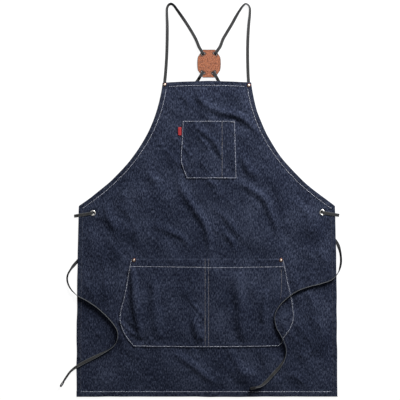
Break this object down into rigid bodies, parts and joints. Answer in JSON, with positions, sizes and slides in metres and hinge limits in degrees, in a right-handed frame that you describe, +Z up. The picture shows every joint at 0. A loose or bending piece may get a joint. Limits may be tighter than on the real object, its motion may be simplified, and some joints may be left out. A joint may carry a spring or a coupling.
{
  "type": "cross-back bib apron",
  "caption": "Denim cross-back apron lying flat, with a bib pocket, a kangaroo waist pocket, a leather crossover keeper and tape ties through eyelets.",
  "frame": {"origin": "on the floor that the apron lies on, under the middle of its length and width", "axes": "+Z up, out of the apron's face; +Y from the hem towards the neck; +X to the right of someone looking down on the face"},
  "size_m": [0.7509, 1.05, 0.0145],
  "materials": {
    "denim": "raw indigo denim, dry and slubby, with pale topstitching",
    "tape": "charcoal herringbone cotton tape",
    "tan_leather": "tan vegetable-tanned leather with dark cut edges",
    "copper": "antique copper",
    "nickel": "pale nickel plate",
    "ribbon": "plain red woven ribbon"
  },
  "bodies": {
    "apron": {"body_panel": "denim", "bib_top_hem": "denim", "armhole_hem_left": "denim", "armhole_hem_right": "denim", "side_hem_left": "denim", "side_hem_right": "denim", "bottom_hem": "denim", "bib_pocket_front": "denim", "bib_pocket_hem": "denim", "bib_pocket_turned_edge": "denim", "waist_pocket_front": "denim", "waist_pocket_hem": "denim", "waist_pocket_turned_edge": "denim", "bib_rivet_left": "copper", "bib_rivet_left_burr": "copper", "bib_rivet_right": "copper", "bib_rivet_right_burr": "copper", "pocket_rivet_left": "copper", "pocket_rivet_left_burr": "copper", "pocket_rivet_right": "copper", "pocket_rivet_right_burr": "copper", "eyelet_left": "nickel", "eyelet_left_washer": "nickel", "eyelet_right": "nickel", "eyelet_right_washer": "nickel", "shoulder_strap_left": "tape", "shoulder_strap_right": "tape", "back_strap_left": "tape", "back_strap_right": "tape", "tie_left": "tape", "tie_right": "tape", "tie_tip_left": "tape", "tie_tip_right": "tape"},
    "keeper": {"keeper": "tan_leather", "keeper_crossing_lower": "tape", "keeper_crossing_upper": "tape"},
    "side_tab": {"side_tab": "ribbon"}
  },
  "joints": [
    {"name": "keeper_slide", "type": "slide", "parent": "apron", "child": "keeper", "axis": [0, 1, 0], "range_m": [-0.005, 0.05], "deforming": ["shoulder_strap_left", "shoulder_strap_right", "back_strap_left", "back_strap_right"]},
    {"name": "side_tab_flip", "type": "hinge", "parent": "apron", "child": "side_tab", "pos_m": [-0.0682, 0.18325, 0.0041], "axis": [0, 1, 0], "range_deg": [0, 90]}
  ]
}
